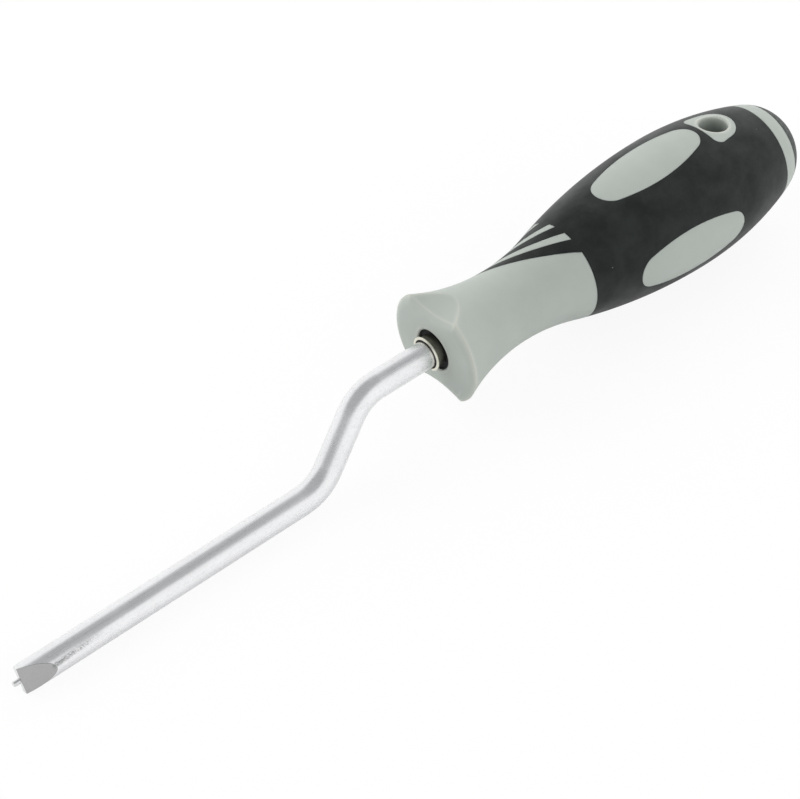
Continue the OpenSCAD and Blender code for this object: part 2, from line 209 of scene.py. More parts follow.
class NodeSheet(NodeTree):
    """The node tree of one new material with a shader on its output, and helpers for what varies over a surface."""

    def __init__(self, name: str) -> None:
        """Makes the material of that name."""
        self.material = bpy.data.materials.new(name)
        super().__init__(self.material)
        self.shader = self.node("ShaderNodeBsdfPrincipled")
        output = self.node("ShaderNodeOutputMaterial")
        self.join(self.shader.outputs["BSDF"], output.inputs["Surface"])
        self._coords: Optional[Node] = None

    def coords(self) -> Socket:
        """Object coordinates, from the one Texture Coordinate node."""
        if self._coords is None:
            self._coords = self.node("ShaderNodeTexCoord")
        return self._coords.outputs["Object"]

    def stretched(self, scale: Point) -> Socket:
        """Object coordinates, scaled along the three axes by a Mapping node."""
        mapping = self.node("ShaderNodeMapping")
        self.fill(mapping, {"Vector": self.coords(), "Scale": scale})
        return mapping.outputs["Vector"]

    def from_point(self, point: Point) -> Socket:
        """Object coordinates, counted from a point."""
        return self.vector_step("SUBTRACT", self.coords(), point).outputs["Vector"]

    def length(self, vector: Socket) -> Socket:
        """Length of a vector."""
        return self.vector_step("LENGTH", vector).outputs["Value"]

    def dot(self, vector: Socket, way: Point) -> Socket:
        """Share of a vector along a direction."""
        return self.vector_step("DOT_PRODUCT", vector, way).outputs["Value"]

    def along_x(self) -> Socket:
        """Place along the handle's axis, in metres."""
        return self.dot(self.coords(), X_WAY)

    def noise(self, scale: float, detail: float = 2.0, vector: Optional[Socket] = None,
              roughness: float = 0.5) -> Socket:
        """A noise value over the surface.

        Args:
            scale: waves to the metre.
            detail: octaves.
            vector: where it is read; Object coordinates if none is given.
            roughness: weight of the finer octaves.

        Returns:
            The noise's factor.
        """
        tex = self.node("ShaderNodeTexNoise")
        place = self.coords() if vector is None else vector
        self.fill(tex, {"Vector": place, "Scale": scale, "Detail": detail, "Roughness": roughness})
        return tex.outputs[0]

    def span(self, value: Socket, low: float, high: float, to_low: float = 0.0,
             to_high: float = 1.0) -> Socket:
        """A value carried smoothly from one range to another and held at its ends.

        Args:
            value: the value to carry over.
            low: start of its own range.
            high: end of its own range.
            to_low: result at the start.
            to_high: result at the end.

        Returns:
            The mapped value.
        """
        step = self.node("ShaderNodeMapRange", clamp=True)
        self.fill(step, {"Value": value, "From Min": low, "From Max": high, "To Min": to_low, "To Max": to_high})
        return step.outputs[0]

    def blend(self, factor: Socket, low: object, high: object) -> Socket:
        """A colour between two colours.

        Args:
            factor: 0 for the first, 1 for the second.
            low: a colour or an output.
            high: a colour or an output.

        Returns:
            The mixed colour.
        """
        mix = self.node("ShaderNodeMix", data_type="RGBA")
        self.join(factor, mix.inputs[0])
        for place, value in zip(MIX_COLOURS, (low, high)):
            self.feed(mix.inputs[place], value if isinstance(value, Socket) else (*value, 1.0))
        return mix.outputs[MIX_RESULT]

    def rounded(self, radius: object) -> Socket:
        """Normals that run softly over edges within that radius, a number or an output."""
        bevel = self.node("ShaderNodeBevel", samples=EDGE_SAMPLES)
        self.feed(bevel.inputs["Radius"], radius)
        return bevel.outputs["Normal"]

    def edge_share(self, radius: float) -> Socket:
        """1 on edges within that radius and 0 on the open surface."""
        surface = self.node("ShaderNodeNewGeometry")
        turned = self.vector_step("DOT_PRODUCT", self.rounded(radius))
        self.join(surface.outputs["Normal"], turned.inputs[1])
        return self.span(turned.outputs["Value"], *EDGE_TURN)

    def specks(self, scale: float, size: float, share: float) -> Socket:
        """Small scattered dots.

        Args:
            scale: cells to the metre, each with one dot at most.
            size: radius of a dot as a share of a cell.
            share: share of the cells that have a dot.

        Returns:
            1 in a dot and 0 elsewhere.
        """
        cells = self.node("ShaderNodeTexVoronoi")
        self.fill(cells, {"Vector": self.coords(), "Scale": scale})
        pick = self.node("ShaderNodeSeparateColor")
        self.join(cells.outputs["Color"], pick.inputs[0])
        chosen = self.span(pick.outputs[0], 1.0 - share, 1.0 - share + SPECK_STEP)
        dot = self.span(cells.outputs["Distance"], size, SPECK_CORE * size)
        return self.calc("MULTIPLY", chosen, dot)

    def bump(self, height: Socket, depth: float, strength: float = 1.0,
             normal: Optional[Socket] = None) -> Socket:
        """Relief from a height value.

        Args:
            height: the height, from 0 to 1.
            depth: how deep a height of 1 is, in metres.
            strength: share of the relief that shows.
            normal: normals that it adds to.

        Returns:
            The new normals.
        """
        step = self.node("ShaderNodeBump")
        self.fill(step, {"Height": height, "Distance": depth, "Strength": strength})
        if normal is not None:
            self.join(normal, step.inputs["Normal"])
        return step.outputs["Normal"]


def shade(colour: Colour, factor: float) -> Colour:
    """A colour made darker or lighter by a factor."""
    return tuple(min(1.0, channel * factor) for channel in colour)


@dataclass(frozen=True)
class Finish:
    """What every finish has: a name, a colour and a roughness.

    Args:
        name: the material's name.
        colour: its middle colour, linear.
        roughness: its middle roughness.
    """

    name: str
    colour: Colour
    roughness: float

    def material(self) -> Material:
        """Makes the material."""
        raise NotImplementedError


@dataclass(frozen=True)
class MouldedFinish(Finish):
    """Moulded plastic or rubber, with a fine grain from the mould, slight clouds in its colour, and dust.

    Args:
        clouds: how far the colour strays, as a share.
        cloud_scale: clouds to the metre.
        grain_scale: grains to the metre.
        grain_depth: depth of the grain in metres.
        grain_show: share of the grain's relief that shows.
        rough_stray: how far the roughness strays, down and up.
        edge: radius of the soft edges in metres.
        edge_highlight: colour of the painted highlight on the edges, or none.
        edge_highlight_r: radius within which an edge gets the painted highlight, in metres.
        dust: colour of the specks, or none.
        dust_share: share of the specks that show.
        dust_scale: specks to the metre.
        dust_size: radius of a speck, as a share of the room that it has.
        scatter: share of light that passes through the skin.
        scatter_tint: how far each colour of that light goes, as a share of the depth.
        scatter_depth: how far it goes, in metres.
        gloss: specular level.
        bloom: share of the soft bloom that rubber shows where it is seen aslant.
        bloom_stray: how far the bloom strays, as a share.
    """

    clouds: float = 0.05
    cloud_scale: float = 90.0
    grain_scale: float = 2600.0
    grain_depth: float = 0.00002
    grain_show: float = 0.6
    rough_stray: Pair = (-0.05, 0.06)
    edge: float = 0.0003
    edge_highlight: Optional[Colour] = None
    edge_highlight_r: float = 0.0012
    dust: Optional[Colour] = None
    dust_share: float = 0.12
    dust_scale: float = 260.0
    dust_size: float = 0.055
    scatter: float = 0.0
    scatter_tint: Colour = (1.0, 0.97, 0.8)
    scatter_depth: float = 0.0018
    gloss: float = 0.5
    bloom: float = 0.0
    bloom_stray: float = 0.45

    def soft_edge(self, sheet: NodeSheet) -> object:
        """Radius of the soft edges: a plain moulding has one all over."""
        return self.edge

    def edge_highlight_share(self, sheet: NodeSheet) -> Socket:
        """1 on the edges that get the painted highlight and 0 elsewhere."""
        return sheet.edge_share(self.edge_highlight_r)

    def painted_shade(self, sheet: NodeSheet, colour: Socket) -> Socket:
        """The colour with painted shade in places. A plain moulding has none."""
        return colour

    def material(self) -> Material:
        """Makes the material."""
        sheet = NodeSheet(self.name)
        cloud = sheet.noise(self.cloud_scale, detail=4.0, roughness=0.6)
        if self.bloom > 0.0:
            least, most = (1.0 - self.bloom_stray) * self.bloom, (1.0 + self.bloom_stray) * self.bloom
            sheet.fill(sheet.shader, {"Sheen Weight": sheet.span(cloud, *MIDDLE, least, most)})
        grain = sheet.noise(self.grain_scale, detail=3.0)
        colour = sheet.blend(sheet.span(cloud, *MIDDLE), shade(self.colour, 1.0 - self.clouds),
                             shade(self.colour, 1.0 + self.clouds))
        # Painted highlight: the edges are made paler where the finish gives them a colour.
        if self.edge_highlight is not None:
            colour = sheet.blend(self.edge_highlight_share(sheet), colour, self.edge_highlight)
        # Painted shade, where the finish has any.
        colour = self.painted_shade(sheet, colour)
        if self.dust is not None:
            specks = sheet.specks(self.dust_scale, self.dust_size, self.dust_share)
            colour = sheet.blend(specks, colour, self.dust)
        if self.scatter > 0.0:
            sheet.fill(sheet.shader, {"Subsurface Weight": self.scatter, "Subsurface Radius": self.scatter_tint,
                                      "Subsurface Scale": self.scatter_depth})
        smooth, rough = (self.roughness + stray for stray in self.rough_stray)
        soft = sheet.rounded(self.soft_edge(sheet))
        sheet.fill(sheet.shader, {"Base Color": colour, "Roughness": sheet.span(cloud, *WIDE, smooth, rough),
                                  "Specular IOR Level": self.gloss,
                                  "Normal": sheet.bump(grain, self.grain_depth, self.grain_show, soft)})
        return sheet.material


@dataclass(frozen=True)
class Bore:
    """A round hole through the part.

    Args:
        place: the middle of its axis, in metres.
        way: direction of its axis, of length 1.
        radius: its radius in metres.
        half: half of its length in metres.
    """

    place: Point
    way: Point
    radius: float
    half: float

    @classmethod
    def from_record(cls, record: Dict[str, Any], name: str) -> "Bore":
        """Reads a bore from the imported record.

        Args:
            record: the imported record.
            name: the mount's name.

        Returns:
            The bore.
        """
        mount = next(mount for mount in record["mounts"] if mount["name"] == name)
        sizes = mount["dims"]
        return cls(tuple(mount["pos_m"]), tuple(mount["axis"]), sizes["r_mm"] * MM, sizes["length_mm"] / 2.0 * MM)


@dataclass(frozen=True)
class CoreFinish(MouldedFinish):
    """Hard plastic with a painted highlight on the nose's edges and on the hanging hole's lips, and painted shade deep
    in that hole.

    Args:
        nose_end: place along X where the nose ends, and with it the nose's painted highlight and its larger soft
            edges, in metres.
        nose_fade: length over which the nose fades out before that place, in metres.
        nose_edge: radius of the nose's soft edges, in metres.
        hole: the hanging hole.
        lip: width of its lip, which gets the painted highlight, in metres.
        lip_core: share of the lip where the painted highlight is full.
        skin: how far a point of its wall may lie outside its radius, in metres.
        skin_core: share of that skin where the painted shade is full.
        hole_shade: factor of the colour in the painted shade deep in the hole.
        hole_shade_depth: depth at which the painted shade is full, in radii of the hole.
    """

    nose_end: float = 0.0
    nose_fade: float = 0.004
    nose_edge: float = 0.0012
    hole: Optional[Bore] = None
    lip: float = 0.0014
    lip_core: float = 0.5
    skin: float = 0.00012
    skin_core: float = 0.3
    hole_shade: float = 0.42
    hole_shade_depth: float = 2.0

    def hole_values(self, sheet: NodeSheet) -> Tuple[Socket, Socket]:
        """Where a point lies in the hole.

        Args:
            sheet: where the nodes go.

        Returns:
            Its distance from the hole's axis, and its distance along the axis from the middle.
        """
        place = sheet.from_point(self.hole.place)
        aside = sheet.vector_step("CROSS_PRODUCT", place, self.hole.way).outputs["Vector"]
        return sheet.length(aside), sheet.calc("ABSOLUTE", sheet.dot(place, self.hole.way))

    def soft_edge(self, sheet: NodeSheet) -> Socket:
        """Radius of the soft edges, larger on the nose."""
        return sheet.span(sheet.along_x(), self.nose_end, self.nose_end - self.nose_fade, self.edge, self.nose_edge)

    def edge_highlight_share(self, sheet: NodeSheet) -> Socket:
        """1 on the edges of the nose and of the hole's lips that get the painted highlight, and 0 elsewhere."""
        nose = sheet.span(sheet.along_x(), self.nose_end, self.nose_end - self.nose_fade)
        radius, _ = self.hole_values(sheet)
        lips = sheet.span(radius, self.hole.radius + self.lip, self.hole.radius + self.lip_core * self.lip)
        return sheet.calc("MULTIPLY", sheet.edge_share(self.edge_highlight_r), sheet.calc("MAXIMUM", nose, lips))

    def painted_shade(self, sheet: NodeSheet, colour: Socket) -> Socket:
        """The colour with painted shade, darker and darker down the hole's wall."""
        radius, along = self.hole_values(sheet)
        inside = sheet.span(radius, self.hole.radius + self.skin, self.hole.radius + self.skin_core * self.skin)
        deep = sheet.span(along, self.hole.half - self.lip, self.hole.half - self.hole_shade_depth * self.hole.radius)
        return sheet.blend(sheet.calc("MULTIPLY", inside, deep), colour, shade(self.colour, self.hole_shade))


@dataclass(frozen=True)
class MottledFinish(MouldedFinish):
    """Rough rubber whose colour is broken up in small dark and pale flecks.

    Args:
        fleck_scale: flecks to the metre.
        fleck_range: range of the noise from the darkest fleck to the palest.
        dark: factor of the dark flecks.
        pale: factor of the pale flecks.
        rubbed: factor of the patches that are rubbed.
        rubbed_share: how much of the rubbed colour shows at most.
    """

    grain_show: float = 0.8
    rough_stray: Pair = (-0.1, 0.1)
    fleck_scale: float = 900.0
    fleck_range: Pair = (0.36, 0.66)
    dark: float = 0.55
    pale: float = 1.6
    rubbed: float = 1.25
    rubbed_share: float = 0.35

    def material(self) -> Material:
        """Makes the material."""
        sheet = NodeSheet(self.name)
        fleck = sheet.noise(self.fleck_scale, detail=5.0, roughness=0.75)
        cloud = sheet.noise(self.cloud_scale, detail=3.0)
        fine = sheet.blend(sheet.span(fleck, *self.fleck_range), shade(self.colour, self.dark),
                           shade(self.colour, self.pale))
        patches = sheet.span(cloud, *NARROW, 0.0, self.rubbed_share)
        colour = sheet.blend(patches, fine, shade(self.colour, self.rubbed))
        smooth, rough = (self.roughness + stray for stray in self.rough_stray)
        soft = sheet.rounded(self.edge)
        sheet.fill(sheet.shader, {"Base Color": colour, "Roughness": sheet.span(fleck, *MIDDLE, smooth, rough),
                                  "Specular IOR Level": self.gloss,
                                  "Normal": sheet.bump(fleck, self.grain_depth, self.grain_show, soft)})
        return sheet.material


@dataclass(frozen=True)
class MetalFinish(Finish):
    """Turned or drawn metal with fine lines along one direction.

    Args:
        lines: scale of the lines along the three axes, to the metre.
        line_depth: depth of the lines in metres.
        line_show: share of the lines' relief that shows.
        line_part: the lines' part in the changes of colour and roughness; clouds have the rest.
        cloud_scale: clouds to the metre.
        tone: how far the colour strays, as a share.
        spread: how far the roughness strays.
        edge: radius of the soft edges in metres.
    """

    lines: Point = (60.0, 4000.0, 4000.0)
    line_depth: float = 0.000004
    line_show: float = 0.5
    line_part: float = 0.6
    cloud_scale: float = 120.0
    tone: float = 0.06
    spread: float = 0.06
    edge: float = 0.0001

    def line_value(self, sheet: NodeSheet) -> Socket:
        """Noise that is drawn out along the lines."""
        return sheet.noise(1.0, detail=3.0, vector=sheet.stretched(self.lines), roughness=0.6)

    def base(self, sheet: NodeSheet, line: Socket) -> Tuple[Socket, Socket]:
        """Colour and roughness of the plain metal.

        Args:
            sheet: where the nodes go.
            line: the lines' value.

        Returns:
            The colour and the roughness.
        """
        cloud = sheet.noise(self.cloud_scale, detail=3.0)
        value = sheet.calc("ADD", sheet.calc("MULTIPLY", line, self.line_part),
                           sheet.calc("MULTIPLY", cloud, 1.0 - self.line_part))
        colour = sheet.blend(sheet.span(value, *NARROW), shade(self.colour, 1.0 - self.tone),
                             shade(self.colour, 1.0 + self.tone))
        rough = sheet.span(value, *MIDDLE, self.roughness - self.spread, self.roughness + self.spread)
        return colour, rough

    def material(self) -> Material:
        """Makes the material."""
        sheet = NodeSheet(self.name)
        line = self.line_value(sheet)
        colour, rough = self.base(sheet, line)
        lined = sheet.bump(line, self.line_depth, self.line_show, sheet.rounded(self.edge))
        sheet.fill(sheet.shader, {"Metallic": 1.0, "Base Color": colour, "Roughness": rough, "Normal": lined})
        return sheet.material


@dataclass(frozen=True)
class RodFinish(MetalFinish):
    """Satin chrome on the rod, with bare ground flats at its blade, a painted shadow line around them and a scuff
    behind them.

    Args:
        leg_axis: a point on the long leg's axis, in metres.
        flat_way: direction that the blade's upper flat faces, across the leg.
        flat_start: place along the leg where the blade ends, in metres.
        flat_end: place along the leg where the flats end, in metres.
        flat_rise: half of the blade's thickness at its end, in metres.
        flat_angle: angle of a flat to the leg, in radians.
        flat_fade: how far past that end the flats' finish has gone, and where it starts to go, in metres.
        flat_skin: distance from a flat's plane where its finish has gone, and where it starts to go, in metres.
        flat_shadow_skin: the same for the painted shadow line around a flat.
        flat_shadow_dark: how dark that painted shadow line is, as a share of the scuff.
        ground: colour of the ground flats.
        ground_tone: how far that colour strays, as a share.
        scuff_len: length of the scuff in metres.
        scuff_half: half of the scuff's width in metres.
        scuff_core: share of that half that is fully scuffed.
        scuff_side: how far the scuff starts above the flat's middle, in metres.
        scuff_lean: how far it leans up, to each metre of its length.
        scuff_rise: height over the leg's middle at which the scuff is full, in metres.
        scuff_lead: how far it starts before the flats' end, in metres.
        scuff_full: share of its length that is not faded.
        scuff_grain: scale of its specks along the three axes, to the metre.
        scuff_range: range of the noise from bare chrome to a speck.
        scuff_worst: how much thicker the specks are at its start.
        scuff_worst_len: share of its length over which that ends.
        scuff_and_shadow: colour of the scuff and of the painted shadow line around the flats.
        pit_scale: grains of the chrome to the metre.
        pit_range: range of the noise from smooth chrome to a pit.
        pit_share: how much of a pit's colour shows at most.
        pit_shade: factor of the colour in a pit.
        pit_depth: depth of the chrome's fine grain, in metres.
        pit_show: share of its relief that shows.
        grit_scale: grinding marks on the flats to the metre.
        grit_depth: their depth in metres.
        grit_show: share of their relief that shows.
        dull: how much rougher the flats and the scuff are.
    """

    leg_axis: Point = ORIGIN
    flat_way: Point = (0.0, -1.0, 0.0)
    flat_start: float = 0.0
    flat_end: float = 0.0
    flat_rise: float = 0.00075
    flat_angle: float = 0.35
    flat_fade: Pair = (0.4 * MM, 0.2 * MM)
    flat_skin: Pair = (0.035 * MM, 0.02 * MM)
    flat_shadow_skin: Pair = (0.13 * MM, 0.06 * MM)
    flat_shadow_dark: float = 0.7
    ground: Colour = (0.47, 0.475, 0.47)
    ground_tone: float = 0.08
    scuff_len: float = 0.014
    scuff_half: float = 0.0009
    scuff_core: float = 0.2
    scuff_side: float = 0.0006
    scuff_lean: float = 0.05
    scuff_rise: float = 0.001
    scuff_lead: float = 0.0008
    scuff_full: float = 0.45
    scuff_grain: Point = (2400.0, 5200.0, 5200.0)
    scuff_range: Pair = (0.42, 0.62)
    scuff_worst: float = 0.06
    scuff_worst_len: float = 0.4
    scuff_and_shadow: Colour = (0.16, 0.16, 0.165)
    pit_scale: float = 1500.0
    pit_range: Pair = (0.52, 0.72)
    pit_share: float = 0.3
    pit_shade: float = 0.55
    pit_depth: float = 0.00001
    pit_show: float = 0.5
    grit_scale: float = 3500.0
    grit_depth: float = 0.00002
    grit_show: float = 0.6
    dull: float = 0.3

    def leg_place(self, sheet: NodeSheet) -> Socket:
        """Object coordinates from the middle of the blade's end."""
        return sheet.from_point((self.flat_start, self.leg_axis[1], self.leg_axis[2]))

    def off_flat(self, sheet: NodeSheet, side: float) -> Socket:
        """Distance from the plane of one flat.

        Args:
            sheet: where the nodes go.
            side: 1 for the upper flat, -1 for the lower one.

        Returns:
            The distance in metres.
        """
        sine, cosine = math.sin(self.flat_angle), math.cos(self.flat_angle)
        normal = (-sine, side * cosine * self.flat_way[1], side * cosine * self.flat_way[2])
        out = sheet.dot(self.leg_place(sheet), normal)
        return sheet.calc("ABSOLUTE", sheet.calc("SUBTRACT", out, cosine * self.flat_rise))

    def flat_shares(self, sheet: NodeSheet) -> Tuple[Socket, Socket]:
        """Where the ground flats are, and the painted shadow line that rings them.

        Args:
            sheet: where the nodes go.

        Returns:
            1 on the flats, and 1 on the painted shadow line.
        """
        near = sheet.calc("MINIMUM", self.off_flat(sheet, 1.0), self.off_flat(sheet, -1.0))
        ahead = sheet.span(sheet.along_x(), *(self.flat_end + fade for fade in self.flat_fade))
        flat = sheet.calc("MULTIPLY", ahead, sheet.span(near, *self.flat_skin))
        flat_shadow_line = sheet.calc("MULTIPLY", ahead, sheet.span(near, *self.flat_shadow_skin))
        return flat, sheet.calc("MULTIPLY", sheet.calc("SUBTRACT", flat_shadow_line, flat), self.flat_shadow_dark)

    def scuff_share(self, sheet: NodeSheet) -> Socket:
        """Specks of the scuff that runs back from the upper flat and leans a little to one side."""
        place = self.leg_place(sheet)
        along = sheet.calc("SUBTRACT", sheet.dot(place, X_WAY), self.flat_end - self.flat_start)
        across = sheet.dot(place, (0.0, -self.flat_way[2], self.flat_way[1]))
        middle = sheet.calc("ADD", sheet.calc("MULTIPLY", along, self.scuff_lean), self.scuff_side)
        off = sheet.calc("ABSOLUTE", sheet.calc("ADD", across, middle))
        band = sheet.span(off, self.scuff_half, self.scuff_core * self.scuff_half)
        upper = sheet.span(sheet.dot(place, self.flat_way), 0.0, self.scuff_rise)
        start = sheet.span(along, -self.scuff_lead, 0.0)
        fade = sheet.span(along, self.scuff_full * self.scuff_len, self.scuff_len, 1.0, 0.0)
        body = sheet.calc("MULTIPLY", sheet.calc("MULTIPLY", band, upper), sheet.calc("MULTIPLY", start, fade))
        torn = sheet.noise(1.0, detail=5.0, vector=sheet.stretched(self.scuff_grain), roughness=0.8)
        worst = sheet.span(along, 0.0, self.scuff_worst_len * self.scuff_len, self.scuff_worst, 0.0)
        return sheet.calc("MULTIPLY", body, sheet.span(sheet.calc("ADD", torn, worst), *self.scuff_range))

    def material(self) -> Material:
        """Makes the material."""
        sheet = NodeSheet(self.name)
        line = self.line_value(sheet)
        colour, rough = self.base(sheet, line)
        flat, flat_shadow_line = self.flat_shares(sheet)
        # The real scuff and the painted shadow line around the flats share one colour.
        scuff_and_shadow = sheet.calc("MAXIMUM", self.scuff_share(sheet), flat_shadow_line)
        grit = sheet.noise(self.grit_scale, detail=3.0)
        pits = sheet.noise(self.pit_scale, detail=5.0, roughness=0.7)
        pitted = sheet.span(pits, *self.pit_range, 0.0, self.pit_share)
        colour = sheet.blend(pitted, colour, shade(self.colour, self.pit_shade))
        ground = sheet.blend(grit, shade(self.ground, 1.0 - self.ground_tone),
                             shade(self.ground, 1.0 + self.ground_tone))
        colour = sheet.blend(scuff_and_shadow, sheet.blend(flat, colour, ground), self.scuff_and_shadow)
        dulled = sheet.calc("MAXIMUM", flat, scuff_and_shadow)
        rough = sheet.calc("ADD", rough, sheet.calc("MULTIPLY", dulled, self.dull))
        lined = sheet.bump(line, self.line_depth, self.line_show)
        relief = sheet.bump(pits, self.pit_depth, self.pit_show, lined)
        gritty = sheet.bump(sheet.calc("MULTIPLY", grit, dulled), self.grit_depth, self.grit_show, relief)
        sheet.fill(sheet.shader, {"Metallic": 1.0, "Base Color": colour, "Roughness": rough, "Normal": gritty})
        return sheet.material


@dataclass(frozen=True)
class GapShadedRingFinish(MetalFinish):
    """Bright nickel whose face has painted shade next to the rod, where the gap between ring and rod falls dark.

    Args:
        axis_z: height of the ring's axis in metres.
        gap_shade_r: radius within which the face has painted shade, in metres.
        gap_shade_blur: half of the width of the painted shade's edge, in metres.
        gap_shade_rough: how much rougher the face is under the painted shade.
        gap_shade: colour of the painted shade.
    """

    axis_z: float = 0.0
    gap_shade_r: float = 0.0
    gap_shade_blur: float = 0.00005
    gap_shade_rough: float = 0.3
    gap_shade: Colour = (0.012, 0.011, 0.01)

    def base(self, sheet: NodeSheet, line: Socket) -> Tuple[Socket, Socket]:
        """Colour and roughness of the nickel and of the painted shade on it.

        Args:
            sheet: where the nodes go.
            line: the lines' value.

        Returns:
            The colour and the roughness.
        """
        colour, rough = super().base(sheet, line)
        # Painted shade: the face darkens within a radius of the rod, where the gap falls dark.
        place = sheet.from_point((0.0, 0.0, self.axis_z))
        aside = sheet.vector_step("MULTIPLY", place, (0.0, 1.0, 1.0)).outputs["Vector"]
        dark = sheet.span(sheet.length(aside), self.gap_shade_r + self.gap_shade_blur, self.gap_shade_r - self.gap_shade_blur)
        gap_shaded_rough = sheet.calc("ADD", rough, sheet.calc("MULTIPLY", dark, self.gap_shade_rough))
        return sheet.blend(dark, colour, self.gap_shade), gap_shaded_rough


def race_steel(name: str) -> MetalFinish:
    """The ground steel of the bearings' races."""
    return MetalFinish(name, (0.62, 0.63, 0.65), 0.2, lines=(3000.0, 300.0, 300.0))


def spacer_alloy(name: str) -> MetalFinish:
    """The turned aluminium of the spacers."""
    return MetalFinish(name, (0.55, 0.56, 0.57), 0.32, lines=(3000.0, 250.0, 250.0))


def dress(piece: Piece, finish: Material) -> None:
    """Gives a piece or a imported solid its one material."""
    piece.data.materials.clear()
    piece.data.materials.append(finish)


def dress_nodes(frame: Dict[str, Piece], finishes: Dict[str, Finish]) -> Dict[str, Material]:
    """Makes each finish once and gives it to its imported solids.

    Args:
        frame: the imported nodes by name.
        finishes: the finish of each node.

    Returns:
        The materials by the finishes' names.
    """
    made: Dict[str, Material] = {}
    for node, finish in finishes.items():
        if finish.name not in made:
            made[finish.name] = finish.material()
        dress(frame[node], made[finish.name])
    return made


def finished_piece(name: str, shape: Shape) -> Piece:
    """Turns a bmesh into an object at the origin, with its faces outwards and smooth.

    Args:
        name: the piece's name.
        shape: the bmesh, which is freed.

    Returns:
        The new object.
    """
    bmesh.ops.remove_doubles(shape, verts=shape.verts, dist=MERGE_GAP)
    bmesh.ops.recalc_face_normals(shape, faces=shape.faces)
    for face in shape.faces:
        face.smooth = True
    mesh = bpy.data.meshes.new(name)
    shape.to_mesh(mesh)
    shape.free()
    mesh.set_sharp_from_angle(angle=math.radians(CREASE))
    piece = bpy.data.objects.new(name, mesh)
    bpy.context.scene.collection.objects.link(piece)
    return piece


def section(shape: Shape, outline: Sequence[Pair]) -> None:
    """Draws a closed section in the plane of X and Z, from a few points.

    Args:
        shape: where it is drawn.
        outline: points as (place along X, radius), in metres.
    """
    corners = [shape.verts.new((x, 0.0, radius)) for x, radius in outline]
    for ends in zip(corners, corners[1:] + corners[:1]):
        shape.edges.new(ends)


def round_section(shape: Shape, radius: float, segments: int) -> None:
    """Rounds every corner of a drawn section."""
    bmesh.ops.bevel(shape, geom=list(shape.verts), offset=radius, offset_type="OFFSET", affect="VERTICES",
                    segments=segments, profile=0.5, material=-1)


def turn_about_x(shape: Shape, angle: float) -> None:
    """Turns a shape about the X axis by an angle in radians."""
    bmesh.ops.rotate(shape, verts=shape.verts, cent=ORIGIN, matrix=Matrix.Rotation(angle, 3, "X"))


def spin_about_x(shape: Shape, angle: float, steps: int) -> None:
    """Spins a drawn section about the X axis into a closed piece.

    Args:
        shape: holds the section.
        angle: how far it is spun, in radians. A full turn is merged where it meets, and a shorter one gets end faces.
        steps: steps of the spin.
    """
    full = angle >= 2.0 * math.pi
    bmesh.ops.spin(shape, geom=list(shape.verts) + list(shape.edges), cent=ORIGIN, axis=X_WAY, angle=angle,
                   steps=steps, use_merge=full)
    if not full:
        bmesh.ops.holes_fill(shape, edges=list(shape.edges), sides=0)


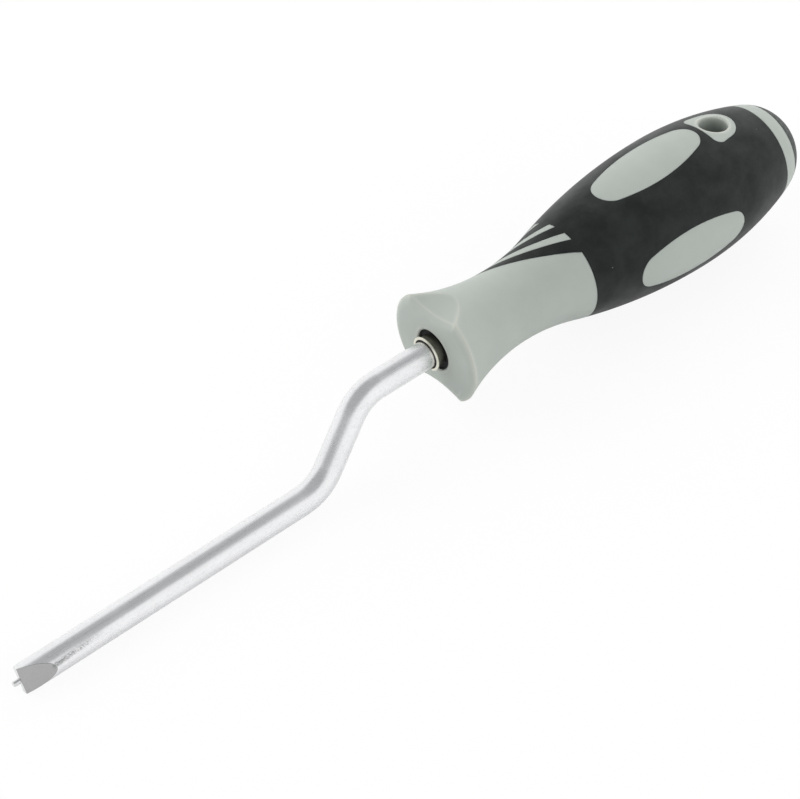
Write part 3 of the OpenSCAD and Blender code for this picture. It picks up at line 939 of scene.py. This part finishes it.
@dataclass
class Crank:
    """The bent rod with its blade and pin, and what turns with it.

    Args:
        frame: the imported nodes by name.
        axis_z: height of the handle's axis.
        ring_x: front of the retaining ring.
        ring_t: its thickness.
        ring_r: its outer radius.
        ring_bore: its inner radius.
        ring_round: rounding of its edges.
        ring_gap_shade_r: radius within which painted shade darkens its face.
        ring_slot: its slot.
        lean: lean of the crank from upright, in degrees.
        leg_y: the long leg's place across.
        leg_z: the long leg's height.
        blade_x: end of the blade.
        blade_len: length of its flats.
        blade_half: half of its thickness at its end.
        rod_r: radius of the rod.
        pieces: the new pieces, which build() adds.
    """

    frame: Dict[str, Piece]
    axis_z: float = 18.25 * MM
    ring_x: float = 0.45 * MM
    ring_t: float = 0.45 * MM
    ring_r: float = 4.6 * MM
    ring_bore: float = 3.21 * MM
    ring_round: float = 0.15 * MM
    ring_gap_shade_r: float = 3.95 * MM
    ring_slot: float = 1.2 * MM
    lean: float = 24.42
    leg_y: float = -6.699 * MM
    leg_z: float = 3.5 * MM
    blade_x: float = -122.35 * MM
    blade_len: float = 7.6 * MM
    blade_half: float = 0.75 * MM
    rod_r: float = 3.5 * MM
    pieces: List[Piece] = field(default_factory=list)

    def finishes(self) -> Dict[str, Finish]:
        """The finish of each node that turns with the rod."""
        lean = math.radians(self.lean)
        chrome = RodFinish("satin_chrome", (0.88, 0.885, 0.895), 0.28, line_depth=0.000003,
                           leg_axis=(0.0, self.leg_y, self.leg_z),
                           flat_way=(0.0, -math.cos(lean), math.sin(lean)), flat_start=self.blade_x,
                           flat_end=self.blade_x + self.blade_len, flat_rise=self.blade_half,
                           flat_angle=math.atan2(self.rod_r - self.blade_half, self.blade_len))
        steel = race_steel("race_steel")
        return {
            "crank_shaft": chrome,
            "pilot_pin": MetalFinish("pin_steel", (0.74, 0.74, 0.75), 0.28, lines=(3500.0, 600.0, 600.0)),
            "front_sleeve": MetalFinish("oiled_bronze", (0.2, 0.195, 0.165), 0.44, lines=(3000.0, 300.0, 300.0),
                                        tone=0.3),
            "front_inner_race": steel,
            "rear_inner_race": steel,
            "rear_washer": steel,
            "inner_spacer": spacer_alloy("spacer_alloy"),
            "rear_circlip": MetalFinish("spring_steel", (0.1, 0.105, 0.11), 0.38, lines=(600.0, 900.0, 900.0)),
        }

    def retaining_ring(self) -> Piece:
        """The split ring in front of the handle, a rounded section spun round the rod.

        Returns:
            The ring, which stands for its node.
        """
        shape = bmesh.new()
        section(shape, [(self.ring_x, self.ring_bore), (self.ring_x + self.ring_t, self.ring_bore),
                        (self.ring_x + self.ring_t, self.ring_r), (self.ring_x, self.ring_r)])
        round_section(shape, self.ring_round, segments=5)
        gap = 2.0 * math.asin(self.ring_slot / 2.0 / self.ring_r)
        turn_about_x(shape, math.pi + gap / 2.0)
        spin_about_x(shape, 2.0 * math.pi - gap, TURN_STEPS)
        turn_about_x(shape, -math.radians(self.lean))
        bmesh.ops.translate(shape, verts=shape.verts, vec=(0.0, 0.0, self.axis_z))
        ring = finished_piece("retaining_ring_round", shape)
        # The ring's face gets painted shade next to the rod.
        nickel = GapShadedRingFinish("ring_nickel", (0.78, 0.765, 0.66), 0.2, lines=(2500.0, 300.0, 300.0),
                                 axis_z=self.axis_z, gap_shade_r=self.ring_gap_shade_r)
        dress(ring, nickel.material())
        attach(ring, Body.CRANK.value)
        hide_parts("front_retaining_ring")
        return ring

    def build(self) -> None:
        """Dresses the nodes and makes the new pieces."""
        dress_nodes(self.frame, self.finishes())
        self.pieces.append(self.retaining_ring())


@dataclass
class Handle:
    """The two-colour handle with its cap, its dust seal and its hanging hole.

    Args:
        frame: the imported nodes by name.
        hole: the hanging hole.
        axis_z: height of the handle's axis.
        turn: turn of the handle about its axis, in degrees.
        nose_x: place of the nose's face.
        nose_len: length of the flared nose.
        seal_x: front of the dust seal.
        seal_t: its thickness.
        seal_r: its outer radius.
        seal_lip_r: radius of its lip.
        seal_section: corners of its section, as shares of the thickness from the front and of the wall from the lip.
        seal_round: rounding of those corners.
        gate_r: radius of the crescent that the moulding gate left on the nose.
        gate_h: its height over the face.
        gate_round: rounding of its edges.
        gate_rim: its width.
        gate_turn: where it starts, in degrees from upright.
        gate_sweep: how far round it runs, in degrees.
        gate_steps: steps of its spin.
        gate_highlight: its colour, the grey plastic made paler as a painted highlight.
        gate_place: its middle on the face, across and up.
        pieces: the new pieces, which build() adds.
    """

    frame: Dict[str, Piece]
    hole: Bore
    axis_z: float = 18.25 * MM
    turn: float = -7.5
    nose_x: float = 2.65 * MM
    nose_len: float = 17.0 * MM
    seal_x: float = 2.95 * MM
    seal_t: float = 0.9 * MM
    seal_r: float = 5.5 * MM
    seal_lip_r: float = 4.18 * MM
    seal_section: Tuple[Pair, ...] = ((0.0, 1.0), (1.0, 1.0), (1.0, 0.3), (0.6, 0.0), (0.1, 0.0), (0.35, 0.4),
                                       (0.35, 0.62), (0.0, 0.75))
    seal_round: float = 0.07 * MM
    gate_r: float = 1.35 * MM
    gate_h: float = 0.05 * MM
    gate_round: float = 0.03 * MM
    gate_rim: float = 0.24 * MM
    gate_turn: float = 70.0
    gate_sweep: float = 175.0
    gate_steps: int = 32
    gate_highlight: Colour = (0.6, 0.625, 0.585)
    gate_place: Pair = (-7.9 * MM, -8.1 * MM)
    pieces: List[Piece] = field(default_factory=list)

    def place(self, shape: Shape) -> None:
        """Turns a shape made about the handle's axis as the handle lies, and lifts it to the axis."""
        turn_about_x(shape, math.radians(self.turn))
        bmesh.ops.translate(shape, verts=shape.verts, vec=(0.0, 0.0, self.axis_z))

    def plastic(self) -> CoreFinish:
        """The finish of the core's hard grey plastic."""
        # Painted highlight on the nose's edges and on the hole's lips, and painted shade deep in the hanging hole.
        return CoreFinish("grey_plastic", (0.412, 0.448, 0.414), 0.42, clouds=0.035, edge=0.45 * MM,
                          edge_highlight=(0.58, 0.6, 0.545), edge_highlight_r=2.5 * MM, nose_end=self.nose_x + self.nose_len,
                          hole=self.hole, scatter=0.35, dust=(0.3, 0.33, 0.31), dust_share=0.05, gloss=0.3)

    def finishes(self) -> Dict[str, Finish]:
        """The finish of each node that belongs to the handle."""
        rubber = MouldedFinish("seal_rubber", (0.008, 0.0085, 0.009), 0.6, edge=0.1 * MM, gloss=0.12)
        steel = race_steel("outer_race_steel")
        return {
            "handle_core": self.plastic(),
            "grip": MouldedFinish("black_overmould", (0.0105, 0.0135, 0.0125), 0.6, clouds=0.4, cloud_scale=150.0,
                                  grain_scale=1900.0, grain_depth=0.00003, edge=0.3 * MM,
                                  dust=(0.14, 0.15, 0.145), dust_share=0.1, gloss=0.16, bloom=0.17),
            "end_cap": MottledFinish("cap_rubber", (0.08, 0.086, 0.083), 0.66, grain_depth=0.0001,
                                     edge=0.4 * MM, gloss=0.14, fleck_scale=1000.0, dark=0.5, pale=1.6),
            "front_bearing_seals": rubber,
            "rear_bearing_seals": rubber,
            "front_outer_race": steel,
            "rear_outer_race": steel,
            "outer_spacer": spacer_alloy("outer_spacer_alloy"),
        }

    def dust_seal(self, rubber: Material) -> Piece:
        """The dust seal: a flat ring with a shallow trough and a soft lip at its bore.

        Args:
            rubber: its material.

        Returns:
            The seal, which stands for its node.
        """
        shape = bmesh.new()
        wall = self.seal_r - self.seal_lip_r
        section(shape, [(self.seal_x + depth * self.seal_t, self.seal_lip_r + height * wall)
                        for depth, height in self.seal_section])
        round_section(shape, self.seal_round, segments=3)
        spin_about_x(shape, 2.0 * math.pi, TURN_STEPS)
        self.place(shape)
        seal = finished_piece("dust_seal_lipped", shape)
        dress(seal, rubber)
        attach(seal, Body.HANDLE.value)
        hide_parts("front_dust_seal")
        return seal

    def gate_mark(self) -> Piece:
        """The thin crescent that the mould's gate left on the nose's face, a rounded section spun part of a turn, in a
        paler grey that paints its highlight.

        Returns:
            The mark.
        """
        shape = bmesh.new()
        inner, outer = self.gate_r - self.gate_rim / 2.0, self.gate_r + self.gate_rim / 2.0
        section(shape, [(-self.gate_h, inner), (self.gate_h, inner), (self.gate_h, outer), (-self.gate_h, outer)])
        round_section(shape, self.gate_round, segments=3)
        turn_about_x(shape, math.radians(self.gate_turn))
        spin_about_x(shape, math.radians(self.gate_sweep), self.gate_steps)
        across, up = self.gate_place
        bmesh.ops.translate(shape, verts=shape.verts, vec=(self.nose_x, across, up))
        self.place(shape)
        mark = finished_piece("gate_mark", shape)
        # The mark's paler colour is a painted highlight.
        pale = replace(self.plastic(), name="gate_highlight_plastic", colour=self.gate_highlight, edge_highlight=None, dust=None,
                       nose_edge=self.gate_h)
        dress(mark, pale.material())
        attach(mark, Body.HANDLE.value)
        return mark

    def build(self) -> None:
        """Dresses the nodes and makes the new pieces."""
        made = dress_nodes(self.frame, self.finishes())
        self.pieces.append(self.dust_seal(made["seal_rubber"]))
        self.pieces.append(self.gate_mark())


@dataclass
class BallSets:
    """The cages and balls of the two bearings.

    Args:
        frame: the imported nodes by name.
    """

    frame: Dict[str, Piece]

    def build(self) -> None:
        """Dresses the cages in brass and the balls in polished steel."""
        brass = MetalFinish("cage_brass", (0.62, 0.46, 0.18), 0.28, lines=(2500.0, 400.0, 400.0))
        steel = MetalFinish("ball_steel", (0.7, 0.71, 0.73), 0.09, lines=(800.0, 800.0, 800.0), spread=0.03)
        dress_nodes(self.frame, {"front_cage": brass, "front_balls": steel, "rear_cage": brass, "rear_balls": steel})


@dataclass
class Lamp:
    """One soft square lamp.

    Args:
        name: its name.
        place: where it hangs, in metres.
        aim: the point that it faces.
        size: its side, in metres.
        power: its power in watts.
    """

    name: str
    place: Point
    aim: Point
    size: float
    power: float

    def hang(self) -> None:
        """Makes the lamp and turns it to its aim. Gloss shows the pale room instead of the lamp."""
        data = bpy.data.lights.new(self.name, "AREA")
        data.shape = "SQUARE"
        data.size = self.size
        data.energy = self.power
        lamp = bpy.data.objects.new(self.name, data)
        lamp.location = self.place
        lamp.visible_glossy = False
        lamp.rotation_mode = "QUATERNION"
        lamp.rotation_quaternion = (Vector(self.aim) - Vector(self.place)).to_track_quat("-Z", "Y")
        bpy.context.scene.collection.objects.link(lamp)


@dataclass
class Studio:
    """Floor, soft light and camera.

    Args:
        floor_half: half of the floor's side, in metres.
        floor_white: colour of the floor, the same for red, green and blue.
        ambient: strength of the world's light on the object.
        backing: share of plain white in the floor as the camera sees it.
        gloss_backing: share of plain white in the floor as gloss shows it, beside its real light and shadow.
        ceiling: colour of the room's ceiling in gloss.
        ceiling_way: direction of the ceiling's middle, of length 1.
        ceiling_span: share of a ray's rise towards it at which the white wall ends, and at which it is all ceiling.
        eye: the camera's place.
        azimuth: where the camera looks from, in degrees round the object.
        elevation: its angle over the horizon, in degrees.
        lens: its focal length in millimetres.
        lamps: the lamps.
    """

    floor_half: float = 3.0
    floor_white: float = 0.93
    ambient: float = 0.66
    backing: float = 0.9
    gloss_backing: float = 0.15
    ceiling: Colour = (0.43, 0.435, 0.44)
    ceiling_way: Point = (-0.12, 0.06, 0.991)
    ceiling_span: Pair = (0.58, 0.805)
    eye: Point = (-0.23162, -0.26548, 0.39356)
    azimuth: float = -40.15
    elevation: float = 48.0
    lens: float = 96.3
    lamps: Tuple[Lamp, ...] = (
        Lamp("key_lamp", (-0.58, 0.8, 0.52), (0.0, 0.0, 0.02), size=1.1, power=6.8),
        Lamp("fill_lamp", (0.35, -0.85, 0.45), (0.0, 0.0, 0.02), size=1.1, power=3.6),
        Lamp("end_lamp", (0.9, 0.4, 0.5), (0.05, 0.0, 0.02), size=0.8, power=3.9),
    )

    def seen_share(self, tree: NodeTree, by_camera: float, by_gloss: float) -> Socket:
        """How much of the plain background a ray shows: from the camera, from gloss or through glass, 0 for the rest.

        Args:
            tree: the node tree that uses it.
            by_camera: share for rays from the camera and through glass.
            by_gloss: share for rays from gloss.

        Returns:
            The share.
        """
        path = tree.node("ShaderNodeLightPath")
        camera, glass, gloss = (tree.calc("MULTIPLY", path.outputs[ray], part) for ray, part in (
            ("Is Camera Ray", by_camera), ("Is Transmission Ray", by_camera), ("Is Glossy Ray", by_gloss)))
        return tree.calc("MAXIMUM", tree.calc("MAXIMUM", camera, glass), gloss)

    def light_world(self) -> None:
        """A pale world: even light on the object, and a white room with a darker ceiling in its gloss."""
        world = bpy.data.worlds.new("pale_room")
        bpy.context.scene.world = world
        tree = NodeTree(world)
        coords = tree.node("ShaderNodeTexCoord")
        rise = tree.vector_step("DOT_PRODUCT", coords.outputs["Generated"], self.ceiling_way)
        ramp = tree.node("ShaderNodeValToRGB")
        wall, ceiling = ramp.color_ramp.elements
        wall.position, ceiling.position = self.ceiling_span
        wall.color = WHITE
        ceiling.color = (*self.ceiling, 1.0)
        tree.join(rise.outputs["Value"], ramp.inputs[0])
        seen = tree.node("ShaderNodeBackground")
        tree.fill(seen, {"Color": ramp.outputs[0]})
        even = tree.node("ShaderNodeBackground")
        tree.fill(even, {"Color": WHITE, "Strength": self.ambient})
        tree.show_mix(self.seen_share(tree, 1.0, 1.0), even, seen, "ShaderNodeOutputWorld")

    def lay_floor(self) -> None:
        """A plain white floor that keeps a faint shadow."""
        shape = bmesh.new()
        bmesh.ops.create_grid(shape, x_segments=1, y_segments=1, size=self.floor_half)
        floor = finished_piece("studio_floor", shape)
        material = bpy.data.materials.new("floor_white")
        tree = NodeTree(material)
        matte = tree.node("ShaderNodeBsdfDiffuse")
        tree.fill(matte, {"Color": (self.floor_white, self.floor_white, self.floor_white, 1.0)})
        plain = tree.node("ShaderNodeEmission")
        tree.fill(plain, {"Color": WHITE, "Strength": 1.0})
        share = self.seen_share(tree, self.backing, self.gloss_backing)
        tree.show_mix(share, matte, plain, "ShaderNodeOutputMaterial")
        dress(floor, material)

    def set_camera(self) -> None:
        """The camera at the picture's viewing angle."""
        turn, rise = math.radians(self.azimuth), math.radians(self.elevation)
        back = Vector((math.sin(turn) * math.cos(rise), -math.cos(turn) * math.cos(rise), math.sin(rise)))
        data = bpy.data.cameras.new("picture_camera")
        data.lens = self.lens
        camera = bpy.data.objects.new("picture_camera", data)
        camera.location = self.eye
        camera.rotation_mode = "QUATERNION"
        camera.rotation_quaternion = (-back).to_track_quat("-Z", "Y")
        bpy.context.scene.collection.objects.link(camera)
        bpy.context.scene.camera = camera

    def build(self) -> None:
        """Sets up the whole studio."""
        bpy.context.scene.view_settings.view_transform = "Standard"
        self.set_camera()
        self.light_world()
        self.lay_floor()
        for lamp in self.lamps:
            lamp.hang()


def main() -> None:
    """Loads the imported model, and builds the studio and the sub-assemblies."""
    logging.basicConfig(level=logging.INFO, format="%(name)s: %(message)s")
    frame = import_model()
    nodes = frame["nodes"]
    Studio().build()
    crank = Crank(nodes)
    handle = Handle(nodes, Bore.from_record(frame["record"], "hanging_hole"))
    for part in (crank, handle, BallSets(nodes)):
        part.build()
    for piece in crank.pieces + handle.pieces:
        LOG.info("%s: %d faces", piece.name, len(piece.data.polygons))


if __name__ == "__main__":
    main()
